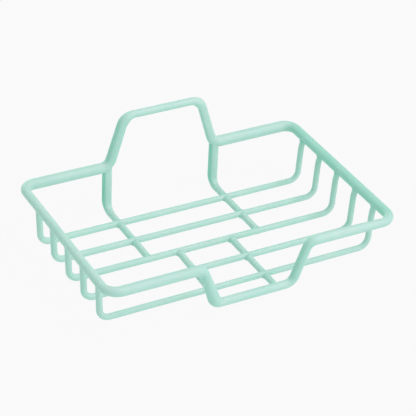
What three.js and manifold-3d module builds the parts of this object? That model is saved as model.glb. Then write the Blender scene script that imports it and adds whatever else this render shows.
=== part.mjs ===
// Wall soap basket of coated wire. A closed rim wire rises into a hanging loop at the back and dips
// at the front. Five U-shaped long wires hang from the rim's short sides, and two uprights and four
// cross wires tie them to the back and to the front dip.
// Millimetres. +X runs along the basket, +Y points to the wall, +Z is up, and z = 0 is the underside.
import * as THREE from 'three';
import { mergeVertices } from 'three/addons/utils/BufferGeometryUtils.js';
import Module from 'manifold-3d';

const wasm = await Module();
wasm.setup();

// Rim wire, measured between centre lines
const rimLength = 140.0;
const rimWidth = 92.0;
const rimDiameter = 4.6;
const rimCornerRadius = 8.0;
const basketDepth = 22.7;

// Hanging loop at the back of the rim
const loopFootSpan = 54.5;
const loopTopSpan = 39.0;
const loopRise = 25.1;
const loopBendRadius = 5.5;

// Dip at the front of the rim
const dipTopSpan = 53.0;
const dipFootSpan = 38.2;
const dipBendRadius = 5.0;
const dipSeat = 1.0;

// Thin wires of the basket
const wireDiameter = 3.0;
const longWireCount = 5;
const longWireEdgeGap = 14.2;
const legTopInset = 1.4;
const legLean = 1.0;
const legTopDrop = 1.0;
const legBendRadius = 5.0;
const crossDrop = 0.5;
const frontCrossInset = 5.5;
const frontCrossEndGap = 1.6;

// Uprights under the feet of the hanging loop
const uprightDiameter = 4.4;
const uprightOutset = 0.8;
const uprightTopDrop = 0.8;
const uprightBendRadius = 5.0;

// Gap kept where two wires are welded, and the fineness of the facets
const weldGap = 0.3;
const rimSides = 16;
const wireSides = 12;
const bendStep = THREE.MathUtils.degToRad(13);

// Levels and places that follow from the sizes above
const rimHalfLength = rimLength / 2;
const rimHalfWidth = rimWidth / 2;
const crossLevel = wireDiameter / 2;
const longLevel = crossLevel + crossDrop;
const lapLevel = (crossLevel + longLevel) / 2;
const rimLevel = longLevel + basketDepth;
const loopLevel = rimLevel + loopRise;
const dipLevel = wireDiameter - dipSeat + rimDiameter / 2;
const legTopHalfSpan = rimHalfLength - legTopInset;
const legFootHalfSpan = legTopHalfSpan - legLean;
const longWirePitch = (rimWidth - 2 * longWireEdgeGap) / (longWireCount - 1);
const uprightHalfSpan = loopFootSpan / 2 + uprightOutset;
const uprightDepth = rimHalfWidth + (rimDiameter - uprightDiameter) / 2;
const frontCrossHalfSpan = dipFootSpan / 2 - frontCrossInset;

const coat = new THREE.MeshStandardMaterial({ color: 0xa8dacb, roughness: 0.45, metalness: 0.0 });

// A curve that visits its stations at equal steps, so that a sweep has a ring at each of them.
class BentWire extends THREE.Curve {
  constructor(stations) {
    super();
    this.stations = stations;
  }

  get isClosed() {
    return this.stations[0].point.equals(this.stations.at(-1).point);
  }

  stationAt(u) {
    return this.stations[Math.round(u * (this.stations.length - 1))];
  }

  getPointAt(u, target = new THREE.Vector3()) {
    return target.copy(this.stationAt(u).point);
  }

  getTangentAt(u, target = new THREE.Vector3()) {
    return target.copy(this.stationAt(u).tangent);
  }
}

// The stations of one round bend at a corner between two straight runs.
function bendStations(before, corner, after, radius) {
  const inward = corner.clone().sub(before).normalize();
  const outward = after.clone().sub(corner).normalize();
  const turn = inward.angleTo(outward);
  const start = corner.clone().addScaledVector(inward, -radius * Math.tan(turn / 2));
  const axis = inward.clone().cross(outward).normalize();
  const centre = start.clone().addScaledVector(axis.clone().cross(inward), radius);
  const count = Math.ceil(turn / bendStep);
  return Array.from({ length: count + 1 }, (_, index) => {
    const angle = turn * index / count;
    return {
      point: start.clone().sub(centre).applyAxisAngle(axis, angle).add(centre),
      tangent: inward.clone().applyAxisAngle(axis, angle),
    };
  });
}

// The path of a wire through its corners, straight at both ends and round at every corner.
// Each corner is [x, y, z, bend radius], and the two ends have no radius.
function wirePath(corners) {
  const points = corners.map(([x, y, z]) => new THREE.Vector3(x, y, z));
  const last = points.length - 1;
  const first = { point: points[0], tangent: points[1].clone().sub(points[0]).normalize() };
  const end = { point: points[last], tangent: points[last].clone().sub(points[last - 1]).normalize() };
  const bends = corners.slice(1, last).flatMap(([, , , radius], index) =>
    bendStations(points[index], points[index + 1], points[index + 2], radius));
  return new BentWire([first, ...bends, end]);
}

// A many-sided section whose flats lie at the wire's own radius.
function wireSection(diameter, sides) {
  const reach = diameter / 2 / Math.cos(Math.PI / sides);
  const corners = Array.from({ length: sides }, (_, index) => {
    const angle = (index + 0.5) * 2 * Math.PI / sides;
    return new THREE.Vector2(reach * Math.cos(angle), reach * Math.sin(angle));
  });
  return new THREE.Shape(corners);
}

// The solid inside a closed geometry.
function solidOf(geometry) {
  geometry.deleteAttribute('normal');
  geometry.deleteAttribute('uv');
  const merged = mergeVertices(geometry);
  return new wasm.Manifold(new wasm.Mesh({
    numProp: 3,
    vertProperties: new Float32Array(merged.getAttribute('position').array),
    triVerts: new Uint32Array(merged.getIndex().array),
  }));
}

// A sweep without its end caps, for a wire whose two ends meet.
function wallsOf(swept) {
  const { start, count } = swept.groups.find(({ materialIndex }) => materialIndex === 1);
  const corners = swept.getAttribute('position').array.slice(3 * start, 3 * (start + count));
  const walls = new THREE.BufferGeometry();
  walls.setAttribute('position', new THREE.BufferAttribute(corners, 3));
  return walls;
}

// The solid of a wire that runs along a path.
function wireSolid(path, diameter, sides) {
  const swept = new THREE.ExtrudeGeometry(wireSection(diameter, sides), {
    steps: path.stations.length - 1,
    extrudePath: path,
  });
  return solidOf(path.isClosed ? wallsOf(swept) : swept);
}

// What one wire gives up at a crossing, where both are pressed half into each other by the weld.
// The sign is 1 to cut the lower wire from its top, and -1 to cut the upper wire from below.
function lapCut(across, depth, sign) {
  const side = wireDiameter + 2 * weldGap;
  const cut = new THREE.BoxGeometry(side, side, wireDiameter);
  return solidOf(cut.translate(across, depth, lapLevel + sign * (wireDiameter - weldGap) / 2));
}

// A named piece of the basket from its solid.
function piece(name, solid) {
  const { vertProperties, triVerts } = solid.getMesh();
  const geometry = new THREE.BufferGeometry();
  geometry.setAttribute('position', new THREE.BufferAttribute(vertProperties, 3));
  geometry.setIndex(new THREE.BufferAttribute(triVerts, 1));
  geometry.computeVertexNormals();
  const mesh = new THREE.Mesh(geometry, coat);
  mesh.name = name;
  return mesh;
}

// The rim, from the middle of its left side over the hanging loop, round by the front dip and back.
function rimPath() {
  return wirePath([
    [-rimHalfLength, 0, rimLevel],
    [-rimHalfLength, rimHalfWidth, rimLevel, rimCornerRadius],
    [-loopFootSpan / 2, rimHalfWidth, rimLevel, loopBendRadius],
    [-loopTopSpan / 2, rimHalfWidth, loopLevel, loopBendRadius],
    [loopTopSpan / 2, rimHalfWidth, loopLevel, loopBendRadius],
    [loopFootSpan / 2, rimHalfWidth, rimLevel, loopBendRadius],
    [rimHalfLength, rimHalfWidth, rimLevel, rimCornerRadius],
    [rimHalfLength, -rimHalfWidth, rimLevel, rimCornerRadius],
    [dipTopSpan / 2, -rimHalfWidth, rimLevel, dipBendRadius],
    [dipFootSpan / 2, -rimHalfWidth, dipLevel, dipBendRadius],
    [-dipFootSpan / 2, -rimHalfWidth, dipLevel, dipBendRadius],
    [-dipTopSpan / 2, -rimHalfWidth, rimLevel, dipBendRadius],
    [-rimHalfLength, -rimHalfWidth, rimLevel, rimCornerRadius],
    [-rimHalfLength, 0, rimLevel],
  ]);
}

// A long wire from one short side of the rim, down, along the base and up to the other side.
function longWirePath(depth) {
  const legTop = rimLevel - legTopDrop;
  return wirePath([
    [-legTopHalfSpan, depth, legTop],
    [-legFootHalfSpan, depth, longLevel, legBendRadius],
    [legFootHalfSpan, depth, longLevel, legBendRadius],
    [legTopHalfSpan, depth, legTop],
  ]);
}

// An upright from under the rim down to the base, where it turns towards the front.
function uprightPath(across) {
  const foot = uprightDiameter / 2;
  const bendEnd = uprightDepth - uprightBendRadius - weldGap;
  return wirePath([
    [across, uprightDepth, rimLevel - uprightTopDrop],
    [across, uprightDepth, foot, uprightBendRadius],
    [across, bendEnd, foot],
  ]);
}

// A straight cross wire on the base between two depths.
function crossWirePath(across, from, to) {
  return wirePath([[across, from, crossLevel], [across, to, crossLevel]]);
}

const longWireDepths = Array.from({ length: longWireCount }, (_, index) =>
  rimHalfWidth - longWireEdgeGap - index * longWirePitch);
const middleDepth = longWireDepths[Math.floor(longWireCount / 2)];

const rearStart = uprightDepth - uprightBendRadius - 2 * weldGap;
const frontEnd = frontCrossEndGap - rimHalfWidth;

// The cross wires: their names, their places across the basket and the depths of their two ends.
const crossWires = [['left', -1], ['right', 1]].flatMap(([side, sign]) => [
  { name: `rear_cross_${side}`, across: sign * uprightHalfSpan, from: rearStart, to: middleDepth },
  { name: `front_cross_${side}`, across: sign * frontCrossHalfSpan, from: middleDepth, to: frontEnd },
]);

// The rim with the weld gap round it, which cuts the ends of the wires that are welded to it.
const rimClearance = wireSolid(rimPath(), rimDiameter + 2 * weldGap, rimSides);

const basket = new THREE.Group();
basket.add(piece('rim_frame', wireSolid(rimPath(), rimDiameter, rimSides)));

longWireDepths.forEach((depth, index) => {
  const crossings = crossWires.filter(({ from, to }) => depth <= from && depth >= to);
  const wire = crossings.reduce(
    (solid, { across }) => solid.subtract(lapCut(across, depth, -1)),
    wireSolid(longWirePath(depth), wireDiameter, wireSides),
  );
  basket.add(piece(`long_wire_${index + 1}`, wire.subtract(rimClearance)));
});

for (const [side, sign] of [['left', -1], ['right', 1]]) {
  const upright = wireSolid(uprightPath(sign * uprightHalfSpan), uprightDiameter, wireSides);
  basket.add(piece(`rear_upright_${side}`, upright.subtract(rimClearance)));
}

for (const { name, across, from, to } of crossWires) {
  const crossings = longWireDepths.filter((depth) => depth <= from && depth >= to);
  const wire = crossings.reduce(
    (solid, depth) => solid.subtract(lapCut(across, depth, 1)),
    wireSolid(crossWirePath(across, from, to), wireDiameter, wireSides),
  );
  basket.add(piece(name, wire.subtract(rimClearance)));
}

export default basket;
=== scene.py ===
"""Wall soap basket of coated wire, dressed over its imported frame."""
import logging
import math
from dataclasses import dataclass, field
from enum import Enum
from typing import TypeVar

import bpy
from mathutils import Matrix, Vector


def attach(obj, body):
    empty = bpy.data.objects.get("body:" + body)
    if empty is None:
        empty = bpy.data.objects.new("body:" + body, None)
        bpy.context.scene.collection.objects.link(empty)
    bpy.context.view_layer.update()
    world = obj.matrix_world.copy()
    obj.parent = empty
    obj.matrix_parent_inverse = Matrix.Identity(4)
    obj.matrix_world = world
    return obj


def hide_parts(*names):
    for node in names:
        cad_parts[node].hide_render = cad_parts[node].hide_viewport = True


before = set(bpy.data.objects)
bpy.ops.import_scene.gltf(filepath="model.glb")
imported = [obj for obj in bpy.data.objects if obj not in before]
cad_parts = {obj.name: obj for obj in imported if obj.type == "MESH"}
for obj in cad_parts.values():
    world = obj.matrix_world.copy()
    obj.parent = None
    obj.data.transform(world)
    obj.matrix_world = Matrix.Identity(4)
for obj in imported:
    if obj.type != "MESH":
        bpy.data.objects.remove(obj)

MM = 0.001
BODY = "root"
NOISE_MIDDLE = 0.5
ALONG = Vector((1.0, 0.0, 0.0))
DEPTH = Vector((0.0, 1.0, 0.0))
UP = Vector((0.0, 0.0, 1.0))
Colour = tuple[float, float, float]
Choice = TypeVar("Choice")
log = logging.getLogger("soap_basket")


class Side(Enum):
    """One of the two mirrored halves of the basket."""

    LEFT = -1
    RIGHT = 1

    @property
    def label(self) -> str:
        """The word that the side has in a node's name."""
        return self.name.lower()

    def pick(self, left: Choice, right: Choice) -> Choice:
        """The one of two values that belongs to this side."""
        return left if self is Side.LEFT else right


class Tree:
    """A node tree under construction."""

    def __init__(self, tree: bpy.types.NodeTree) -> None:
        """Starts from an existing tree, which gets the new nodes."""
        self.tree = tree

    def node(
        self,
        kind: str,
        settings: dict[str, object] | None = None,
        inputs: dict[str | int, object] | None = None,
    ) -> bpy.types.Node:
        """Adds one node.

        Args:
            kind: The node's type name.
            settings: Properties of the node, which are set first.
            inputs: Values or links of its sockets, by name or index.

        Returns:
            The new node.
        """
        node = self.tree.nodes.new(kind)
        for name, value in (settings or {}).items():
            setattr(node, name, value)
        for key, value in (inputs or {}).items():
            self.feed(node.inputs[key], value)
        return node

    def feed(self, socket: bpy.types.NodeSocket, value: object) -> None:
        """Links a socket to another one, or sets its plain value.

        Args:
            socket: The input socket.
            value: A wrapped socket, a socket or a plain value.
        """
        source = value.socket if isinstance(value, Value) else value
        if isinstance(source, bpy.types.NodeSocket):
            self.tree.links.new(source, socket)
        else:
            socket.default_value = source

    def value(self, socket: bpy.types.NodeSocket) -> "Value":
        """Wraps a number socket for expressions."""
        return Value(self, socket)

    def vector_math(self, operation: str, inputs: dict[str | int, object]) -> bpy.types.NodeOutputs:
        """The outputs of a new Vector Math node."""
        return self.node("ShaderNodeVectorMath", {"operation": operation}, inputs).outputs

    def vector(self, operation: str, *vectors: object) -> bpy.types.NodeSocket:
        """The vector that an operation makes of one or two vectors."""
        return self.vector_math(operation, dict(enumerate(vectors)))["Vector"]

    def dot(self, first: object, second: object) -> "Value":
        """The dot product of two vectors."""
        return self.value(self.vector_math("DOT_PRODUCT", {0: first, 1: second})["Value"])

    def scaled(self, vector: object, factor: "Value") -> bpy.types.NodeSocket:
        """A vector times a number."""
        return self.vector_math("SCALE", {0: vector, "Scale": factor})["Vector"]

    def blend(self, factor: "Value", first: Colour, second: Colour) -> bpy.types.NodeSocket:
        """A colour on the line through two colours.

        Args:
            factor: How far along the line it lies, also before 0 and past 1.
            first: The colour at 0.
            second: The colour at 1.

        Returns:
            The colour's socket.
        """
        # A Mix node has its colours in inputs 6 and 7 and in output 2.
        mix = self.node(
            "ShaderNodeMix",
            {"data_type": "RGBA", "clamp_factor": False},
            {0: factor, 6: (*first, 1.0), 7: (*second, 1.0)},
        )
        return mix.outputs[2]


class Value:
    """A number socket that takes part in Python expressions."""

    def __init__(self, tree: Tree, socket: bpy.types.NodeSocket) -> None:
        """Wraps a socket of a tree, which gets the Math nodes."""
        self.tree = tree
        self.socket = socket

    def math(self, operation: str, first: object, second: object) -> "Value":
        """The result of a Math node."""
        node = self.tree.node("ShaderNodeMath", {"operation": operation}, {0: first, 1: second})
        return Value(self.tree, node.outputs[0])

    def __add__(self, other: "Value | float") -> "Value":
        """The sum."""
        return self.math("ADD", self, other)

    __radd__ = __add__

    def __sub__(self, other: "Value | float") -> "Value":
        """The difference."""
        return self.math("SUBTRACT", self, other)

    def __rsub__(self, other: float) -> "Value":
        """The difference from a plain number."""
        return self.math("SUBTRACT", other, self)

    def __mul__(self, other: "Value | float") -> "Value":
        """The product."""
        return self.math("MULTIPLY", self, other)

    __rmul__ = __mul__

    def __pow__(self, other: float) -> "Value":
        """The power."""
        return self.math("POWER", self, other)


def bare_material(name: str) -> tuple[bpy.types.Material, Tree]:
    """Makes a material without nodes.

    Args:
        name: The material's name.

    Returns:
        The material and its empty tree.
    """
    made = bpy.data.materials.new(name)
    made.use_nodes = True
    made.node_tree.nodes.clear()
    return made, Tree(made.node_tree)


@dataclass(frozen=True)
class CoatFinish:
    """The satin plastic coat of the wires.

    Its colour goes from the plain to the deep one where more coat has gathered at welds, and in
    soft clouds. It is also painted darker, as shade, on some runs and on the flanks of pressed
    runs, and painted lighter on a few runs.
    Its fine orange peel is in the bump and the roughness. Lengths are in metres.
    """

    name: str = "satin_mint_coat"
    colour: Colour = (0.447, 0.751, 0.653)
    # The deep colour stands for thicker coat at welds and also for shade painted on runs and
    # flanks.
    deep_colour: Colour = (0.262, 0.690, 0.545)
    plain_depth: float = 0.12
    painted_shade_and_weld_coat_depth: float = 0.55
    cloud_depth: float = 0.5
    cloud_size: float = 14.0 * MM
    cloud_detail: float = 2.0
    peel_size: float = 0.9 * MM
    peel_detail: float = 1.5
    peel_height: float = 0.012 * MM
    roughness: float = 0.46
    peel_roughness: float = 0.10
    cloud_roughness: float = 0.12
    specular: float = 0.45
    scatter: float = 0.15
    scatter_colour: Colour = (0.25, 1.0, 0.75)
    scatter_depth: float = 1.6 * MM

    def material(self) -> bpy.types.Material:
        """Builds the coat's material.

        Returns:
            A material that varies with the coat's thickness at welds, its painted shade and orange
            peel.
        """
        made, tree = bare_material(self.name)
        place = tree.node("ShaderNodeTexCoord").outputs["Object"]
        peel = self.noise(tree, place, self.peel_size, self.peel_detail)
        cloud = self.noise(tree, place, self.cloud_size, self.cloud_detail) - NOISE_MIDDLE
        # This attribute holds coat gathered at welds and shade painted on runs and pressed flanks.
        pool = tree.node("ShaderNodeAttribute", {"attribute_name": "weld_coat_and_painted_shade"}).outputs["Fac"]
        depth = tree.value(pool) * self.painted_shade_and_weld_coat_depth + cloud * self.cloud_depth + self.plain_depth
        rougher = (peel - NOISE_MIDDLE) * self.peel_roughness + cloud * self.cloud_roughness
        bump = tree.node(
            "ShaderNodeBump",
            None,
            {"Strength": 1.0, "Distance": self.peel_height, "Height": peel},
        )
        shader = tree.node(
            "ShaderNodeBsdfPrincipled",
            None,
            {
                "Base Color": tree.blend(depth, self.colour, self.deep_colour),
                "Roughness": rougher + self.roughness,
                "Normal": bump.outputs[0],
                "Specular IOR Level": self.specular,
                "Subsurface Weight": self.scatter,
                "Subsurface Radius": self.scatter_colour,
                "Subsurface Scale": self.scatter_depth,
            },
        )
        tree.node("ShaderNodeOutputMaterial", None, {"Surface": shader.outputs[0]})
        return made

    @staticmethod
    def noise(tree: Tree, place: bpy.types.NodeSocket, size: float, detail: float) -> Value:
        """Adds a noise pattern.

        Args:
            tree: The material's tree.
            place: The coordinates that it reads.
            size: The size of its patches in metres.
            detail: How many finer layers it has.

        Returns:
            The pattern's value, around its middle.
        """
        node = tree.node(
            "ShaderNodeTexNoise",
            None,
            {"Vector": place, "Scale": 1.0 / size, "Detail": detail},
        )
        return tree.value(node.outputs[0])


@dataclass(frozen=True)
class Corner:
    """A corner or an end of a wire's centre line, in millimetres.

    Its bend is the radius of the bend there, and its swell is how much thicker the wire is in it.
    """

    x: float
    y: float
    z: float
    bend: float = 0.0
    swell: float = 0.0

    @property
    def point(self) -> Vector:
        """The corner as a vector."""
        return Vector((self.x, self.y, self.z))


@dataclass(frozen=True)
class Run:
    """A straight run of wire, with its radius at both ends in millimetres.

    Its painted shade darkens its coat above 0 and lightens it below 0. Its pressed is how far its
    section is pressed from round, at 0, towards square, at 1.
    """

    start: float
    end: float
    pool: float = 0.0
    pressed: float = 0.0

    @classmethod
    def even(cls, radius: float, pool: float = 0.0, pressed: float = 0.0) -> "Run":
        """A run of one radius."""
        return cls(radius, radius, pool, pressed)


@dataclass
class Station:
    """One ring of a swept wire, in millimetres.

    Its spread is how far a weld widens it to both sides, as a share of its radius, and its side is
    the direction of that. Its shade is painted from its run and deepened by coat gathered at a
    weld.
    Its pressed is that of the run that it is on.
    """

    point: Vector
    radius: float
    pool: float = 0.0
    pressed: float = 0.0
    spread: float = 0.0
    side: Vector = field(default_factory=lambda: Vector((0.0, 0.0, 0.0)))


@dataclass(frozen=True)
class Weld:
    """A weld to a neighbour wire, where the coat gathers in a hollow curve.

    Along is the wire's own direction there, and side is the direction in which the coat widens it.
    The neighbour is that wire's half width, the hollow is the curve's radius, and the margin is how
    far beyond both a ring is still looked at, all in millimetres.
    """

    at: Vector
    along: Vector
    side: Vector
    neighbour: float
    hollow: float = 1.2
    margin: float = 2.0

    def width(self, station: Station) -> float:
        """The wire's half width beside the weld.

        Args:
            station: A ring of the wire.

        Returns:
            The half width in millimetres.
        """
        away = abs((station.point - self.at).dot(self.along))
        rest = max(self.neighbour + self.hollow - away, 0.0)
        rest = min(rest, self.hollow)
        return station.radius + self.hollow - math.sqrt(self.hollow**2 - rest**2)

    def gather(self, station: Station) -> None:
        """Widens a ring of the wire that lies beside the weld.

        Args:
            station: The ring.
        """
        if (station.point - self.at).length > self.neighbour + self.hollow + self.margin:
            return
        spread = self.width(station) / station.radius - 1.0
        if spread > station.spread:
            station.spread = spread
            station.side = self.side
            station.pool = max(station.pool, min(1.0, spread * station.radius / self.hollow))


@dataclass
class WirePath:
    """The centre line of a bent wire: straight runs with round bends between them.

    The step is the longest way from ring to ring, in millimetres.
    """

    corners: list[Corner]
    runs: list[Run]
    closed: bool = False
    step: float = 0.45
    least_bend_rings: int = 4

    def stations(self) -> list[Station]:
        """The rings of the wire from end to end.

        Returns:
            The rings, at most one step apart.
        """
        count = len(self.corners)
        made: list[Station] = []
        for number, run in enumerate(self.runs):
            after = (number + 1) % count
            start = self.bend_ends(number)[1]
            end = self.bend_ends(after)[0]
            made += self.straight(start, end, run)
            if self.closed or after < count - 1:
                next_run = self.runs[(number + 1) % len(self.runs)]
                made += self.bend(after, run, next_run)
        if not self.closed:
            last = self.runs[-1]
            made.append(Station(self.corners[-1].point, last.end, last.pool, last.pressed))
        return made

    def directions(self, index: int) -> tuple[Vector, Vector]:
        """The directions of the runs beside a corner.

        Args:
            index: The corner's number.

        Returns:
            The directions before and after it.
        """
        count = len(self.corners)
        here = self.corners[index].point
        before = (here - self.corners[(index - 1) % count].point).normalized()
        after = (self.corners[(index + 1) % count].point - here).normalized()
        return before, after

    def bend_ends(self, index: int) -> tuple[Vector, Vector]:
        """Where the bend at a corner starts and ends.

        Args:
            index: The corner's number.

        Returns:
            Both points, which are the corner itself at the end of an open wire.
        """
        corner = self.corners[index]
        if corner.bend == 0.0:
            return corner.point, corner.point
        before, after = self.directions(index)
        reach = corner.bend * math.tan(before.angle(after) / 2)
        return corner.point - before * reach, corner.point + after * reach

    def straight(self, start: Vector, end: Vector, run: Run) -> list[Station]:
        """The rings of a straight run, without its last point.

        Args:
            start: Its first point.
            end: Its last point.
            run: Its radii, its coat and its section.

        Returns:
            The rings.
        """
        count = max(1, math.ceil((end - start).length / self.step))
        made = []
        for share in (index / count for index in range(count)):
            radius = run.start + (run.end - run.start) * share
            made.append(Station(start.lerp(end, share), radius, run.pool, run.pressed))
        return made

    def bend(self, index: int, run: Run, next_run: Run) -> list[Station]:
        """The rings of a round bend, without its last point.

        Args:
            index: The corner's number.
            run: The run before the bend.
            next_run: The run after the bend.

        Returns:
            The rings, which go over smoothly from one run to the next.
        """
        before, after = self.directions(index)
        turn = before.angle(after)
        axis = before.cross(after).normalized()
        start = self.bend_ends(index)[0]
        corner = self.corners[index]
        centre = start + axis.cross(before) * corner.bend
        count = max(self.least_bend_rings, math.ceil(turn * corner.bend / self.step))
        made = []
        for share in (number / count for number in range(count)):
            ease = share * share * (3.0 - 2.0 * share)
            turned = Matrix.Rotation(turn * share, 3, axis) @ (start - centre)
            thicker = corner.swell * math.sin(math.pi * share) ** 2
            radius = run.end + (next_run.start - run.end) * ease + thicker
            # The painted shade blends from one run to the next.
            pool = run.pool + (next_run.pool - run.pool) * ease
            pressed = run.pressed + (next_run.pressed - run.pressed) * ease
            made.append(Station(centre + turned, radius, pool, pressed))
        return made


class WireSweep:
    """The geometry-node tree that sweeps a wire along its rings.

    A pressed ring is swollen towards a square, and has shade painted on its flank. That shade
    starts and is full where the surface faces the flank's way by the shares FLANK_START and
    FLANK_FULL.
    """

    FLANK_START = 0.656
    FLANK_FULL = 0.830
    SQUARE_POWER = -0.25
    RING_ATTRIBUTES = ("centre", "radius", "side", "spread", "pressed")

    def __init__(self) -> None:
        """Builds the tree with its named inputs."""
        self.group = bpy.data.node_groups.new("wire_sweep", "GeometryNodeTree")
        self.add_socket("Rings", "Geometry")
        self.sides = self.add_socket("Sides", "Int")
        self.coat = self.add_socket("Coat", "Material")
        self.flank = self.add_socket("Flank", "Vector")
        self.painted_flank_shade = self.add_socket("Painted Flank Shade", "Float")
        self.add_socket("Wire", "Geometry", "OUTPUT")
        self.lay_nodes(Tree(self.group))

    def add_socket(self, name: str, kind: str, way: str = "INPUT") -> str:
        """Adds a named input or output to the tree, and gives its identifier."""
        face = self.group.interface
        return face.new_socket(name, in_out=way, socket_type=f"NodeSocket{kind}").identifier

    def lay_nodes(self, tree: Tree) -> None:
        """Fills the tree.

        Args:
            tree: The empty tree.
        """
        given = tree.node("NodeGroupInput").outputs
        swept = self.sweep_section(tree, given)
        centre = self.read(tree, "centre", "FLOAT_VECTOR")
        out = tree.vector("SUBTRACT", self.position(tree), centre)
        outward = tree.vector("NORMALIZE", out)
        pressed = tree.value(self.read(tree, "pressed", "FLOAT"))
        # Painted shade and weld coat are kept on the surface for the material.
        pool = self.pool(tree, given, outward, pressed)
        with_painted_shade = self.store(tree, swept, "weld_coat_and_painted_shade", "FLOAT", pool)
        swell = self.square_swell(tree, outward, pressed)
        offset = tree.vector("ADD", self.weld_flare(tree, out), tree.scaled(out, swell))
        widened = tree.node("GeometryNodeSetPosition", None, {"Geometry": with_painted_shade, "Offset": offset})
        smooth = tree.node("GeometryNodeSetShadeSmooth", None, {"Geometry": widened.outputs[0]})
        plain = tree.node("GeometryNodeRealizeInstances", None, {"Geometry": smooth.outputs[0]})
        coated = tree.node(
            "GeometryNodeSetMaterial",
            None,
            {"Geometry": plain.outputs[0], "Material": given["Coat"]},
        )
        tree.node("NodeGroupOutput", None, {"Wire": coated.outputs[0]})

    def sweep_section(self, tree: Tree, given: bpy.types.NodeOutputs) -> bpy.types.NodeSocket:
        """Sweeps a round section along the rings.

        Args:
            tree: The tree.
            given: The tree's inputs.

        Returns:
            The swept mesh, which remembers its rings' centres.
        """
        line = tree.node("GeometryNodeMeshToCurve", None, {"Mesh": given["Rings"]}).outputs[0]
        section = tree.node(
            "GeometryNodeCurvePrimitiveCircle",
            {"mode": "RADIUS"},
            {"Resolution": given["Sides"], "Radius": 1.0},
        )
        swept = tree.node(
            "GeometryNodeCurveToMesh",
            None,
            {
                "Curve": self.store(tree, line, "centre", "FLOAT_VECTOR", self.position(tree)),
                "Profile Curve": section.outputs[0],
                "Scale": self.read(tree, "radius", "FLOAT"),
                "Fill Caps": True,
            },
        )
        return swept.outputs[0]

    def pool(
        self,
        tree: Tree,
        given: bpy.types.NodeOutputs,
        outward: bpy.types.NodeSocket,
        pressed: Value,
    ) -> Value:
        """The coat gathered at welds, and the shade painted on runs and on the flanks of pressed
        rings.

        Args:
            tree: The tree.
            given: The tree's inputs.
            outward: The direction from the ring's centre.
            pressed: How far the ring is pressed square.

        Returns:
            The ring's weld coat and painted shade, with more shade painted on the flank of a
            pressed ring.
        """
        facing = tree.dot(outward, given["Flank"])
        band = tree.node(
            "ShaderNodeMapRange",
            {"interpolation_type": "SMOOTHSTEP"},
            {"Value": facing, "From Min": self.FLANK_START, "From Max": self.FLANK_FULL},
        )
        # Shade is painted on the flank of a pressed ring, on top of the ring's own value.
        ring_shade_and_weld_coat = tree.value(self.read(tree, "weld_coat_and_painted_shade", "FLOAT"))
        painted_flank_shade = tree.value(given["Painted Flank Shade"])
        return ring_shade_and_weld_coat + tree.value(band.outputs[0]) * painted_flank_shade * pressed

    def weld_flare(self, tree: Tree, out: bpy.types.NodeSocket) -> bpy.types.NodeSocket:
        """How a weld widens the wire to both sides.

        Args:
            tree: The tree.
            out: The way from the ring's centre.

        Returns:
            The offset.
        """
        side = self.read(tree, "side", "FLOAT_VECTOR")
        spread = tree.value(self.read(tree, "spread", "FLOAT"))
        return tree.scaled(side, tree.dot(out, side) * spread)

    def square_swell(self, tree: Tree, outward: bpy.types.NodeSocket, pressed: Value) -> Value:
        """How much a pressed ring stands out at the corners of its square.

        Args:
            tree: The tree.
            outward: The direction from the ring's centre.
            pressed: How far the ring is pressed square.

        Returns:
            The swell as a share of the radius.
        """
        parts = tree.node("ShaderNodeSeparateXYZ", None, {0: outward})
        across = tree.value(parts.outputs["X"])
        share = across * across
        square = share * share + (1.0 - share) * (1.0 - share)
        return (square**self.SQUARE_POWER - 1.0) * pressed

    @staticmethod
    def position(tree: Tree) -> bpy.types.NodeSocket:
        """The socket of the points' places."""
        return tree.node("GeometryNodeInputPosition").outputs[0]

    @staticmethod
    def read(tree: Tree, name: str, kind: str) -> bpy.types.NodeSocket:
        """The socket of a named attribute of some data type."""
        node = tree.node("GeometryNodeInputNamedAttribute", {"data_type": kind}, {"Name": name})
        return node.outputs[0]

    @staticmethod
    def store(
        tree: Tree, shape: bpy.types.NodeSocket, name: str, kind: str, value: object
    ) -> bpy.types.NodeSocket:
        """Keeps a value on a shape's points.

        Args:
            tree: The tree.
            shape: The shape's socket.
            name: The attribute's name.
            kind: Its data type.
            value: The value's socket.

        Returns:
            The socket of the shape with the attribute.
        """
        node = tree.node(
            "GeometryNodeStoreNamedAttribute",
            {"data_type": kind, "domain": "POINT"},
            {"Geometry": shape, "Name": name, "Value": value},
        )
        return node.outputs[0]

    def sweep(
        self, wire: "Wire", stations: list[Station], coat: bpy.types.Material
    ) -> bpy.types.Object:
        """Sweeps one wire.

        Args:
            wire: The wire.
            stations: Its rings.
            coat: Its material.

        Returns:
            The piece, as a plain mesh object at the origin.
        """
        name = f"{wire.node}_coated"
        carrier = self.carrier(name, stations, wire.path.closed)
        modifier = carrier.modifiers.new("sweep", "NODES")
        modifier.node_group = self.group
        modifier[self.sides] = wire.sides
        modifier[self.coat] = coat
        modifier[self.flank] = wire.flank
        modifier[self.painted_flank_shade] = wire.painted_flank_shade
        graph = bpy.context.evaluated_depsgraph_get()
        mesh = bpy.data.meshes.new_from_object(carrier.evaluated_get(graph))
        carrier.modifiers.remove(modifier)
        bpy.data.objects.remove(carrier)
        for unused in self.RING_ATTRIBUTES:
            found = mesh.attributes.get(unused)
            if found:
                mesh.attributes.remove(found)
        mesh.name = name
        piece = bpy.data.objects.new(name, mesh)
        bpy.context.scene.collection.objects.link(piece)
        return piece

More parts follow.
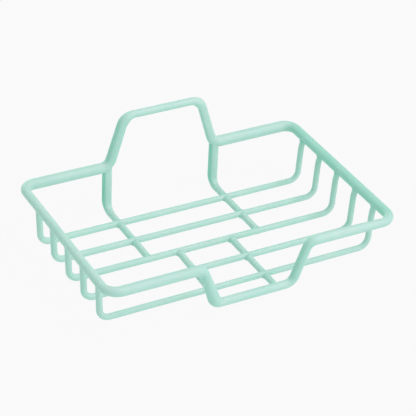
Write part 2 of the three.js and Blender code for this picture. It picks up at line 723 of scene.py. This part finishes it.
    @staticmethod
    def carrier(name: str, stations: list[Station], closed: bool) -> bpy.types.Object:
        """Makes the line of rings that the tree reads.

        Args:
            name: The piece's name.
            stations: The rings of the wire.
            closed: Whether its ends meet.

        Returns:
            An object with the centre line and the rings' attributes.
        """
        count = len(stations)
        edges = [(index, index + 1) for index in range(count - 1)]
        if closed:
            edges.append((count - 1, 0))
        mesh = bpy.data.meshes.new(f"{name}_rings")
        mesh.from_pydata([station.point * MM for station in stations], edges, [])
        numbers = {
            "radius": [station.radius * MM for station in stations],
            "spread": [station.spread for station in stations],
            "weld_coat_and_painted_shade": [station.pool for station in stations],
            "pressed": [station.pressed for station in stations],
        }
        for label, values in numbers.items():
            mesh.attributes.new(label, "FLOAT", "POINT").data.foreach_set("value", values)
        sides = [part for station in stations for part in station.side]
        mesh.attributes.new("side", "FLOAT_VECTOR", "POINT").data.foreach_set("vector", sides)
        carrier = bpy.data.objects.new(f"{name}_rings", mesh)
        bpy.context.scene.collection.objects.link(carrier)
        return carrier


@dataclass
class Wire:
    """A coated wire of the basket that stands for one node.

    The flank is the side of a pressed run with painted shade, and the painted flank shade is how
    much of it there is. A dome on a round end rises by a share of the radius, with rings at these
    angles.
    """

    node: str
    path: WirePath
    welds: list[Weld] = field(default_factory=list)
    sides: int = 24
    round_ends: bool = True
    flank: tuple[float, float, float] = (-1.0, 0.0, 0.0)
    painted_flank_shade: float = 0.0
    dome_rise: float = 0.5
    dome_angles: tuple[int, ...] = (20, 40, 60, 75, 86)

    def build(self, sweep: WireSweep, coat: bpy.types.Material) -> bpy.types.Object:
        """Sweeps the wire, and gathers the coat at its welds.

        Args:
            sweep: The tree that sweeps it.
            coat: Its material.

        Returns:
            The piece.
        """
        stations = self.path.stations()
        for station in stations:
            station.point.z = max(station.point.z, station.radius)
        if self.round_ends and not self.path.closed:
            stations = self.rounded(stations)
        for weld in self.welds:
            for station in stations:
                weld.gather(station)
        return sweep.sweep(self, stations, coat)

    def rounded(self, stations: list[Station]) -> list[Station]:
        """Adds a small dome at both ends.

        Args:
            stations: The rings of the wire.

        Returns:
            The rings with the domes' rings at the ends.
        """
        first = self.dome(stations[0], stations[0].point - stations[1].point)
        last = self.dome(stations[-1], stations[-1].point - stations[-2].point)
        return first[::-1] + stations + last

    def dome(self, end: Station, outward: Vector) -> list[Station]:
        """The rings of a dome on the end of a wire.

        Args:
            end: The last ring of the wire.
            outward: The direction out of the end.

        Returns:
            The dome's rings from the wire outwards.
        """
        rise = end.radius * self.dome_rise
        made = []
        for turn in (math.radians(angle) for angle in self.dome_angles):
            point = end.point + outward.normalized() * rise * math.sin(turn)
            made.append(Station(point, end.radius * math.cos(turn), end.pool))
        return made

    def dress(self, piece: bpy.types.Object) -> None:
        """Ties the piece to the frame.

        Args:
            piece: The finished piece.
        """
        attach(piece, BODY)
        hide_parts(self.node)


@dataclass(frozen=True)
class RimFrame:
    """The rim wire, with the hanging loop at its back and the dip at its front.

    Its sizes are in millimetres, between centre lines. Its runs go round to the right from the back
    left corner, up and down the loop, and down and up the dip.
    """

    back_left: Corner = Corner(-70.5, 46.1, 24.7, 5.4)
    back_right: Corner = Corner(70.35, 46.1, 24.7, 5.9)
    front_right: Corner = Corner(70.25, -46.6, 24.45, 6.6)
    front_left: Corner = Corner(-70.37, -46.05, 24.7, 6.6)
    loop_corners: tuple[Corner, ...] = (
        Corner(-27.25, 46.0, 24.7, 5.5),
        Corner(-19.45, 46.0, 49.88, 6.7, 0.26),
        Corner(19.45, 46.0, 49.88, 6.9, 0.24),
        Corner(27.25, 46.0, 24.7, 5.5),
    )
    dip_depth: float = -46.0
    dip_corners: tuple[Corner, ...] = (
        Corner(26.5, dip_depth, 24.7, 5.0),
        Corner(19.1, dip_depth, 4.7, 5.0),
        Corner(-19.0, dip_depth, 4.7, 5.0, 0.15),
        Corner(-25.95, dip_depth, 24.7, 4.2),
    )
    level: float = 24.7
    sides: int = 32
    back_left_run: Run = Run.even(2.55)
    # A run's third number paints shade on its coat, darker above 0 and lighter below 0.
    loop_left_leg: Run = Run(2.32, 2.21, 0.46, 0.5)
    loop_bar: Run = Run.even(1.80)
    loop_right_leg: Run = Run(1.87, 1.98, -0.1, 1.0)
    # Shade painted on the left faces of the loop's pressed legs.
    loop_painted_flank_shade: float = 0.7
    back_right_run: Run = Run.even(2.65)
    right_run: Run = Run(2.38, 2.34, 0.92)
    front_right_run: Run = Run(2.04, 2.38)
    dip_right_leg: Run = Run.even(2.10, 0.6)
    dip_bar: Run = Run.even(1.97)
    dip_left_leg: Run = Run(2.80, 2.08, 0.45)
    front_left_run: Run = Run(2.38, 2.28)
    left_run: Run = Run(2.04, 2.06, -0.2)

    def wire(self) -> Wire:
        """Bends the rim.

        Returns:
            The rim as one closed wire.
        """
        back = [self.back_left, *self.loop_corners, self.back_right]
        front = [self.front_right, *self.dip_corners, self.front_left]
        loop = [self.loop_left_leg, self.loop_bar, self.loop_right_leg]
        dip = [self.dip_right_leg, self.dip_bar, self.dip_left_leg]
        runs = [self.back_left_run, *loop, self.back_right_run, self.right_run]
        runs += [self.front_right_run, *dip, self.front_left_run, self.left_run]
        path = WirePath(back + front, runs, closed=True)
        return Wire("rim_frame", path, sides=self.sides, painted_flank_shade=self.loop_painted_flank_shade)


@dataclass(frozen=True)
class LongWires:
    """The thin wires along the basket, bent up at both ends and welded under the rim.

    Their sizes are in millimetres, between centre lines, from the back wire to the front one. A
    slant is how far a wire's left end stands back from its middle. A weld's drop is how far below
    the rim's own surface it starts.
    """

    rim: RimFrame
    depths: tuple[float, ...] = (31.8, 15.9, 0.0, -15.9, -31.9)
    slants: tuple[float, ...] = (0.0, 0.05, -0.02, -0.05, -0.2)
    base_runs: tuple[Run, ...] = (
        Run(1.60, 1.40),
        Run(1.60, 1.41),
        Run(1.60, 1.42),
        Run(1.50, 1.42),
        Run(1.42, 1.38),
    )
    middle: int = 2
    left_leg: tuple[Corner, ...] = (
        Corner(-69.8, 0.0, 23.8),
        Corner(-68.35, 0.0, 20.0, 10.0),
        Corner(-67.65, 0.0, 2.0, 5.0),
    )
    left_leg_run: Run = Run.even(1.49)
    left_weld_drop: float = 0.6
    left_weld_hollow: float = 1.8
    right_leg: tuple[Corner, ...] = (
        Corner(67.6, 0.0, 2.0, 5.0),
        Corner(68.45, 0.0, 20.0, 12.0),
        Corner(69.5, 0.0, 24.1),
    )
    right_leg_run: Run = Run.even(1.43)
    right_weld_drop: float = -0.5
    right_weld_hollow: float = 1.0
    crossing_hollow: float = 0.7

    def wires(self) -> list[Wire]:
        """Bends the long wires.

        Returns:
            The wires, from the back to the front.
        """
        left_reach = self.rim.left_run.start + self.left_weld_drop
        right_reach = self.rim.right_run.start + self.right_weld_drop
        rows = zip(self.depths, self.slants, self.base_runs)
        made = []
        for number, (depth, slant, base) in enumerate(rows, start=1):
            corners = [Corner(leg.x, depth + slant, leg.z, leg.bend) for leg in self.left_leg]
            corners += [Corner(leg.x, depth - slant, leg.z, leg.bend) for leg in self.right_leg]
            runs = [*[self.left_leg_run] * 2, base, *[self.right_leg_run] * 2]
            welds = [
                self.leg_weld(corners[0], left_reach, self.left_weld_hollow),
                self.leg_weld(corners[-1], right_reach, self.right_weld_hollow),
            ]
            made.append(Wire(f"long_wire_{number}", WirePath(corners, runs), welds))
        return made

    def leg_weld(self, top: Corner, neighbour: float, hollow: float) -> Weld:
        """The weld of a leg's upper end under the rim."""
        return Weld(Vector((top.x, top.y, self.rim.level)), UP, DEPTH, neighbour, hollow)

    def crossings(self, across: float, level: float, numbers: range) -> list[Weld]:
        """The welds of a cross wire under the long wires.

        Args:
            across: The cross wire's place along the basket.
            level: Its height.
            numbers: The long wires that it crosses, counted from 0 at the back.

        Returns:
            One weld for each crossing.
        """
        made = []
        for number in numbers:
            at = Vector((across, self.depths[number], level))
            neighbour = self.base_runs[number].start
            made.append(Weld(at, DEPTH, ALONG, neighbour, self.crossing_hollow))
        return made


@dataclass(frozen=True)
class RearSupports:
    """The posts under the loop's feet, and the cross wires that go on from them over the base.

    Their sizes are in millimetres, between centre lines. A post is pressed square, is thinner from
    its foot to its tip, and has shade painted on its left face.
    """

    rim: RimFrame
    long_wires: LongWires
    half_span: float = 28.05
    depth: float = 46.0
    level: float = 1.65
    top_rise: float = 0.8
    post: Run = Run.even(2.05, pressed=1.0)
    foot: Run = Run(1.78, 1.62)
    foot_bend: float = 5.2
    # Shade painted on the left face of each post.
    foot_end: float = 39.2
    left_painted_flank_shade: float = 2.3
    right_painted_flank_shade: float = 1.7
    cross: Run = Run.even(1.6)
    cross_overlap: float = 0.6

    def upright(self, side: Side) -> Wire:
        """Bends a post.

        Args:
            side: The half of the basket that it stands on.

        Returns:
            The wire, from the loop's foot to the cross wire.
        """
        across = side.value * self.half_span
        corners = [
            Corner(across, self.depth, self.rim.level + self.top_rise),
            Corner(across, self.depth, self.level, self.foot_bend),
            Corner(across, self.foot_end, self.level),
        ]
        path = WirePath(corners, [self.post, self.foot])
        # The shade painted on this post's left face.
        pool = side.pick(self.left_painted_flank_shade, self.right_painted_flank_shade)
        return Wire(f"rear_upright_{side.label}", path, round_ends=False, painted_flank_shade=pool)

    def cross_wire(self, side: Side) -> Wire:
        """Lays a cross wire.

        Args:
            side: The half of the basket that it lies on.

        Returns:
            The wire, from the post's foot to the middle long wire.
        """
        across = side.value * self.half_span
        middle = self.long_wires.middle
        corners = [
            Corner(across, self.foot_end + self.cross_overlap, self.level),
            Corner(across, self.long_wires.depths[middle], self.level),
        ]
        welds = self.long_wires.crossings(across, self.level, range(middle + 1))
        return Wire(f"rear_cross_{side.label}", WirePath(corners, [self.cross]), welds)


@dataclass(frozen=True)
class FrontSupports:
    """The cross wires from the middle long wire to the bar of the front dip.

    Their sizes are in millimetres, between centre lines. Each turns up at its front end, where it
    is welded under the bar. The weld's drop is how far below the bar's own surface it starts.
    """

    rim: RimFrame
    long_wires: LongWires
    level: float = 1.65
    left_corners: tuple[Corner, ...] = (
        Corner(-13.3, 0.0, level),
        Corner(-14.55, -41.4, level, 4.0),
        Corner(-14.65, -45.0, 3.35),
    )
    right_corners: tuple[Corner, ...] = (
        Corner(13.6, 0.0, level),
        Corner(13.6, -41.4, level, 4.0),
        Corner(13.6, -45.0, 3.35),
    )
    left_runs: tuple[Run, ...] = (Run.even(1.60), Run.even(1.60))
    right_runs: tuple[Run, ...] = (Run(1.64, 1.46), Run.even(1.44))
    bar_weld_drop: float = -0.2

    def cross_wire(self, side: Side) -> Wire:
        """Lays a cross wire.

        Args:
            side: The half of the basket that it lies on.

        Returns:
            The wire.
        """
        corners = side.pick(self.left_corners, self.right_corners)
        runs = side.pick(self.left_runs, self.right_runs)
        across, height = corners[-1].x, corners[-1].z
        numbers = range(self.long_wires.middle, len(self.long_wires.depths))
        welds = self.long_wires.crossings(across, self.level, numbers)
        bar = Vector((across, self.rim.dip_depth, height))
        welds.append(Weld(bar, DEPTH, ALONG, self.rim.dip_bar.start + self.bar_weld_drop))
        return Wire(f"front_cross_{side.label}", WirePath(list(corners), list(runs)), welds)


@dataclass(frozen=True)
class SoapBasket:
    """The whole basket, made of its sub-assemblies, each on those that carry it."""

    rim: RimFrame = RimFrame()
    long_wires: LongWires = LongWires(rim)
    rear: RearSupports = RearSupports(rim, long_wires)
    front: FrontSupports = FrontSupports(rim, long_wires)

    def wires(self) -> list[Wire]:
        """Every wire of the basket.

        Returns:
            The wires, in the order in which they are built.
        """
        makers = (self.rear.upright, self.rear.cross_wire, self.front.cross_wire)
        paired = [make(side) for make in makers for side in Side]
        return [self.rim.wire(), *self.long_wires.wires(), *paired]


@dataclass(frozen=True)
class Viewpoint:
    """The camera's place: angles in degrees, lengths in millimetres, clip ends in metres.

    The slide moves the basket across the picture, to the right and up where it is positive.
    """

    name: str = "viewpoint"
    azimuth: float = -29.396
    elevation: float = 32.755
    roll: float = 2.872
    distance: float = 772.06
    lens: float = 147.56
    sensor: float = 36.0
    target: tuple[float, float, float] = (0.0, 0.0, 17.0)
    slide: tuple[float, float] = (-0.837, -4.024)
    clip: tuple[float, float] = (0.01, 20.0)

    def build(self) -> bpy.types.Object:
        """Makes the camera the scene's own.

        Returns:
            The camera object.
        """
        around, above = math.radians(self.azimuth), math.radians(self.elevation)
        flat = math.cos(above)
        back = Vector((math.sin(around) * flat, -math.cos(around) * flat, math.sin(above)))
        level = Vector((math.cos(around), math.sin(around), 0.0))
        turn = Matrix.Rotation(math.radians(self.roll), 3, back)
        right, up = turn @ level, turn @ back.cross(level)
        place = Vector(self.target) - right * self.slide[0] - up * self.slide[1]
        place += back * self.distance
        lens = bpy.data.cameras.new(self.name)
        lens.lens = self.lens
        lens.sensor_width = self.sensor
        lens.clip_start, lens.clip_end = self.clip
        camera = bpy.data.objects.new(self.name, lens)
        turned = Matrix((right, up, back)).transposed().to_4x4()
        camera.matrix_world = Matrix.Translation(place * MM) @ turned
        bpy.context.scene.collection.objects.link(camera)
        bpy.context.scene.camera = camera
        return camera


@dataclass(frozen=True)
class SoftLight:
    """A square studio light that points at the basket, in metres and watts."""

    name: str
    place: tuple[float, float, float]
    power: float
    colour: Colour = (1.0, 0.64, 0.75)
    size: float = 0.6
    target: tuple[float, float, float] = (0.0, 0.0, 0.02)

    def build(self) -> bpy.types.Object:
        """Hangs the light.

        Returns:
            The light object.
        """
        lamp = bpy.data.lights.new(self.name, "AREA")
        lamp.shape = "SQUARE"
        lamp.size = self.size
        lamp.energy = self.power
        lamp.color = self.colour
        light = bpy.data.objects.new(self.name, lamp)
        light.location = self.place
        light.visible_camera = False
        aim = Vector(self.target) - light.location
        light.rotation_euler = aim.to_track_quat("-Z", "Y").to_euler()
        bpy.context.scene.collection.objects.link(light)
        return light


@dataclass(frozen=True)
class Studio:
    """A pale floor, which glows by itself, in soft, even light. Lengths are in metres."""

    sky: Colour = (0.86, 1.0, 0.963)
    sky_strength: float = 0.565
    paper: Colour = (0.02, 0.02, 0.02)
    glow: Colour = (1.0, 1.0, 1.0)
    floor_glow: float = 0.93
    floor_size: float = 12.0
    floor_level: float = -0.1 * MM
    lights: tuple[SoftLight, ...] = (
        SoftLight("top_light", (0.0, 0.0, 1.2), 2.85),
        SoftLight("key_light", (0.424, -0.424, 1.039), 6.08),
        SoftLight("right_light", (0.491, -0.851, 0.688), 1.03),
        SoftLight("front_light", (0.587, -1.017, 0.249), 2.71),
        SoftLight("back_light", (0.0, 1.174, 0.249), 3.60, (0.72, 1.0, 0.722)),
    )

    def build(self) -> None:
        """Makes the floor, the sky and the lights."""
        self.build_sky()
        self.build_floor()
        for light in self.lights:
            light.build()
            log.info("light %s", light.name)

    def build_sky(self) -> None:
        """Makes the even light from all round."""
        world = bpy.data.worlds.new("studio_sky")
        world.use_nodes = True
        shade = world.node_tree.nodes["Background"]
        shade.inputs["Color"].default_value = (*self.sky, 1.0)
        shade.inputs["Strength"].default_value = self.sky_strength
        bpy.context.scene.world = world
        bpy.context.scene.view_settings.view_transform = "Standard"

    def build_floor(self) -> None:
        """Lays the floor under the basket."""
        half = self.floor_size / 2
        corners = [(-half, -half), (half, -half), (half, half), (-half, half)]
        mesh = bpy.data.meshes.new("studio_floor")
        mesh.from_pydata([(x, y, self.floor_level) for x, y in corners], [], [(0, 1, 2, 3)])
        mesh.materials.append(self.floor_paper())
        floor = bpy.data.objects.new("studio_floor", mesh)
        bpy.context.scene.collection.objects.link(floor)

    def floor_paper(self) -> bpy.types.Material:
        """Builds the floor's material.

        Returns:
            A dull paper that glows evenly.
        """
        made, tree = bare_material("studio_paper")
        shader = tree.node(
            "ShaderNodeBsdfPrincipled",
            None,
            {
                "Base Color": (*self.paper, 1.0),
                "Roughness": 1.0,
                "Specular IOR Level": 0.0,
                "Emission Color": (*self.glow, 1.0),
                "Emission Strength": self.floor_glow,
            },
        )
        tree.node("ShaderNodeOutputMaterial", None, {"Surface": shader.outputs[0]})
        return made


def main() -> None:
    """Builds the basket, the studio and the camera."""
    logging.basicConfig(level=logging.INFO, format="%(name)s: %(message)s")
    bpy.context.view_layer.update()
    coat = CoatFinish().material()
    sweep = WireSweep()
    for wire in SoapBasket().wires():
        piece = wire.build(sweep, coat)
        wire.dress(piece)
        log.info("piece %s with %d faces", piece.name, len(piece.data.polygons))
    Studio().build()
    Viewpoint().build()


if __name__ == "__main__":
    main()
